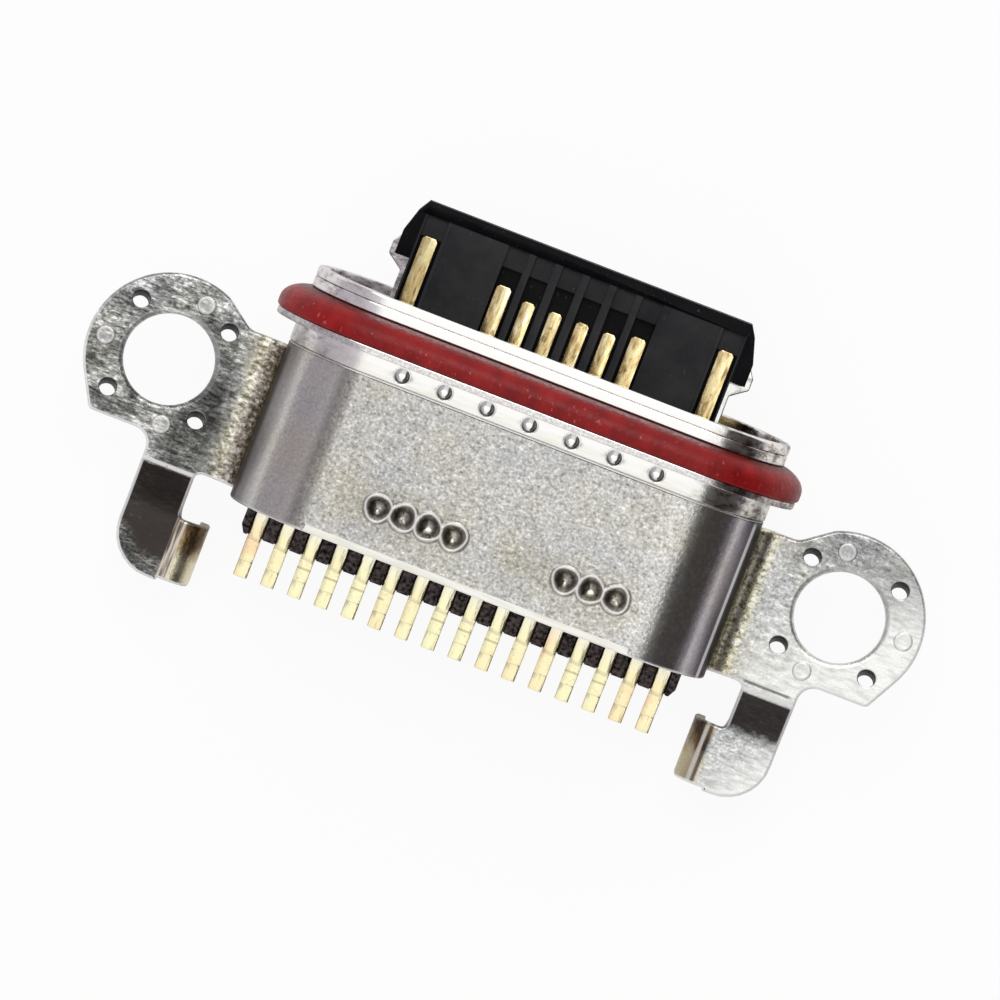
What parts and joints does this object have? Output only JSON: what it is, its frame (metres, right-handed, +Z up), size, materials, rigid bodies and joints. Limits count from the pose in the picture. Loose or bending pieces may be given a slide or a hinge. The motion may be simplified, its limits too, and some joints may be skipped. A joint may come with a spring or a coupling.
{
  "type": "charging port",
  "caption": "Waterproof board-mount charging port: bare contact tongue in a steel shell with a red silicone seal, screw ears, solder feet and a rear comb of solder tails.",
  "frame": {"origin": "midway between the two ear holes, in the middle plane of the contact tongue", "axes": "+X from one ear to the other, -Y the way the tongue points, out of the port, +Z up, away from the board, on the side of the ears' upper face"},
  "size_m": [0.0154, 0.0079, 0.0038],
  "materials": {
    "steel_nickel": "matt nickel plate",
    "steel_bright": "bright nickel plate",
    "silicone_red": "satin silicone",
    "plastic_black": "fine moulded",
    "contact_gold": "gold plate",
    "sealant_black": "potting resin"
  },
  "bodies": {
    "root": {"mounting_bracket": "steel_nickel", "shell": "steel_bright", "front_collar": "steel_bright", "mid_plate": "steel_bright", "housing": "plastic_black", "upper_wafer": "plastic_black", "lower_wafer": "plastic_black", "contact_a1": "contact_gold", "contact_a4": "contact_gold", "contact_a5": "contact_gold", "contact_a6": "contact_gold", "contact_a7": "contact_gold", "contact_a8": "contact_gold", "contact_a9": "contact_gold", "contact_a12": "contact_gold", "contact_b1": "contact_gold", "contact_b4": "contact_gold", "contact_b5": "contact_gold", "contact_b6": "contact_gold", "contact_b7": "contact_gold", "contact_b8": "contact_gold", "contact_b9": "contact_gold", "contact_b12": "contact_gold", "seal_ring": "silicone_red", "rear_sealant": "sealant_black"}
  },
  "joints": []
}
